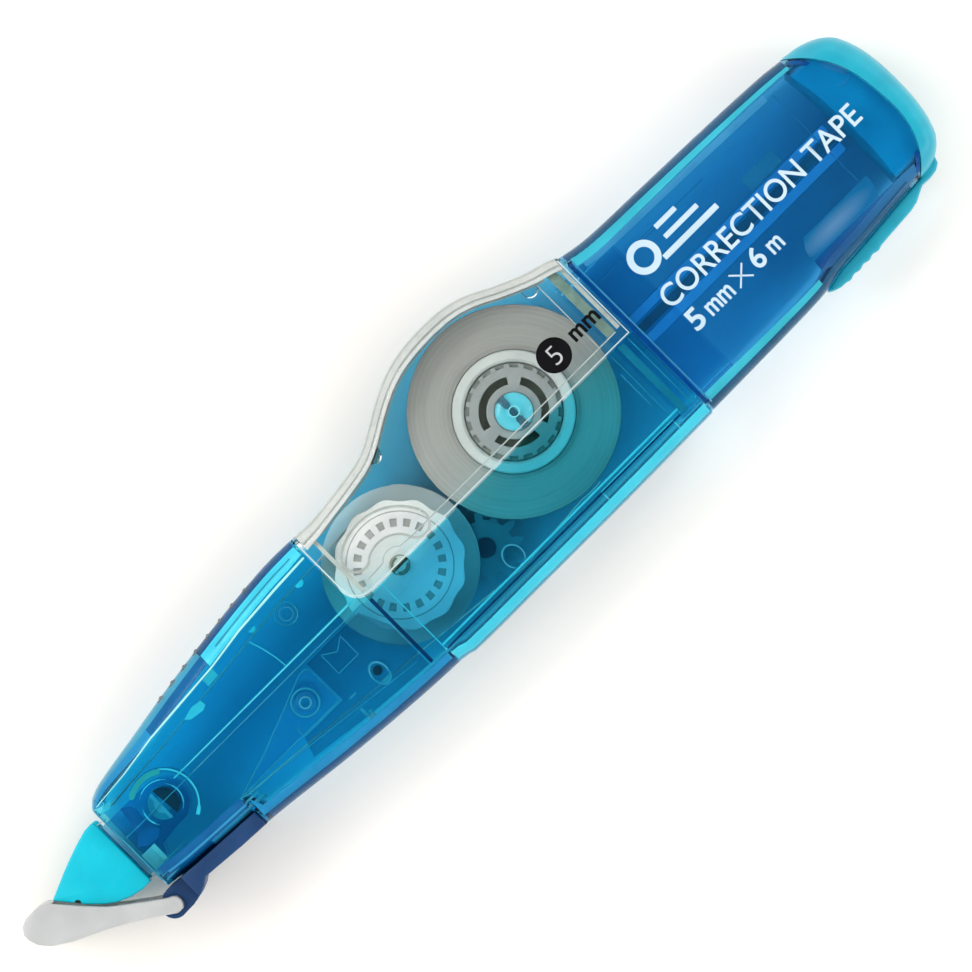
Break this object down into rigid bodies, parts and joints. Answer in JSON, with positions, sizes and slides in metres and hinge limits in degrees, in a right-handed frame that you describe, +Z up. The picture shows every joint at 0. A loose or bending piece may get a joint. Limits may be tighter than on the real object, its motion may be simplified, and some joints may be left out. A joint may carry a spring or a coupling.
{
  "type": "correction tape roller",
  "caption": "Pen-shaped correction tape roller: translucent blue shell, clear window bump over the reels, wedge tip with swing guard, cyan end cap with side tongue.",
  "frame": {"origin": "centre of the overall bounding box in X and Y, at the height of the broad face the object lies on", "axes": "+X from the tip towards the tail, +Y towards the side with the clear bump, +Z up from the resting face to the broad face with the window"},
  "size_m": [0.1398, 0.0309, 0.014],
  "materials": {
    "blue_translucent": "clear blue moulding, glossy",
    "blue_dark": "dark blue moulding, glossy",
    "clear_plastic": "clear moulding, glossy",
    "cyan": "opaque satin",
    "cyan_cap": "opaque satin",
    "milky": "milky, satin",
    "white_plastic": "satin",
    "natural_plastic": "satin",
    "tape": "matt wound tape",
    "tape_film": "matt film",
    "steel": "turned pin",
    "light_blue": "glossy"
  },
  "bodies": {
    "housing": {"far_shell": "blue_translucent", "near_shell": "blue_translucent", "tail_collar": "blue_translucent", "tail_spine": "blue_translucent", "supply_spindle": "blue_translucent", "idler_pin": "blue_translucent", "takeup_pin": "steel", "head_pivot": "blue_translucent", "head_spring": "light_blue", "head_stop": "light_blue", "guard_bracket": "blue_dark", "tape_feed": "tape_film", "tape_return": "tape_film"},
    "window": {"window_cover": "clear_plastic"},
    "tail": {"tail_shell": "blue_translucent"},
    "cap": {"tail_cap": "cyan_cap"},
    "guard": {"tip_guard": "milky"},
    "head": {"head_wedge": "cyan", "head_carrier": "blue_dark", "tip_guide_pin": "steel", "tape_tip": "tape_film"},
    "supply_drive": {"supply_gear": "natural_plastic", "clutch_ring": "white_plastic"},
    "supply_reel": {"supply_core": "white_plastic", "tape_roll": "tape"},
    "idler": {"idler_gear": "natural_plastic"},
    "takeup": {"takeup_gear": "natural_plastic", "takeup_hub": "natural_plastic", "takeup_flange": "white_plastic", "takeup_tape": "tape_film"}
  },
  "joints": [
    {"name": "guard_hinge", "type": "hinge", "parent": "housing", "child": "guard", "pos_m": [-0.05525, -0.01125, 0.007], "axis": [0, 0, 1], "range_deg": [0, 150]},
    {"name": "head_swing", "type": "hinge", "parent": "housing", "child": "head", "pos_m": [-0.0479, -0.0022, 0.007], "axis": [0, 0, 1], "range_deg": [-4, 2], "stiffness_Nm_per_rad": 0.05},
    {"name": "supply_spin", "type": "hinge", "parent": "housing", "child": "supply_drive", "pos_m": [0.012, 0.00115, 0.007], "axis": [0, 0, 1], "continuous": true},
    {"name": "supply_slip", "type": "hinge", "parent": "supply_drive", "child": "supply_reel", "pos_m": [0.012, 0.00115, 0.007], "axis": [0, 0, 1], "continuous": true},
    {"name": "idler_spin", "type": "hinge", "parent": "housing", "child": "idler", "pos_m": [-0.00133, -0.00758, 0.0024], "axis": [0, 0, 1], "continuous": true},
    {"name": "takeup_spin", "type": "hinge", "parent": "housing", "child": "takeup", "pos_m": [-0.0096, -0.00203, 0.007], "axis": [0, 0, 1], "continuous": true},
    {"name": "window_off", "type": "slide", "parent": "housing", "child": "window", "axis": [0, 0, 1], "range_m": [0, 0.016]},
    {"name": "tail_off", "type": "slide", "parent": "housing", "child": "tail", "axis": [1, 0, 0], "range_m": [0, 0.04]},
    {"name": "cap_off", "type": "slide", "parent": "tail", "child": "cap", "axis": [1, 0, 0], "range_m": [0, 0.008]}
  ],
  "couplings": [
    {"joint": "idler_spin", "follows": "supply_spin", "ratio": -3},
    {"joint": "takeup_spin", "follows": "supply_spin", "ratio": 2}
  ]
}
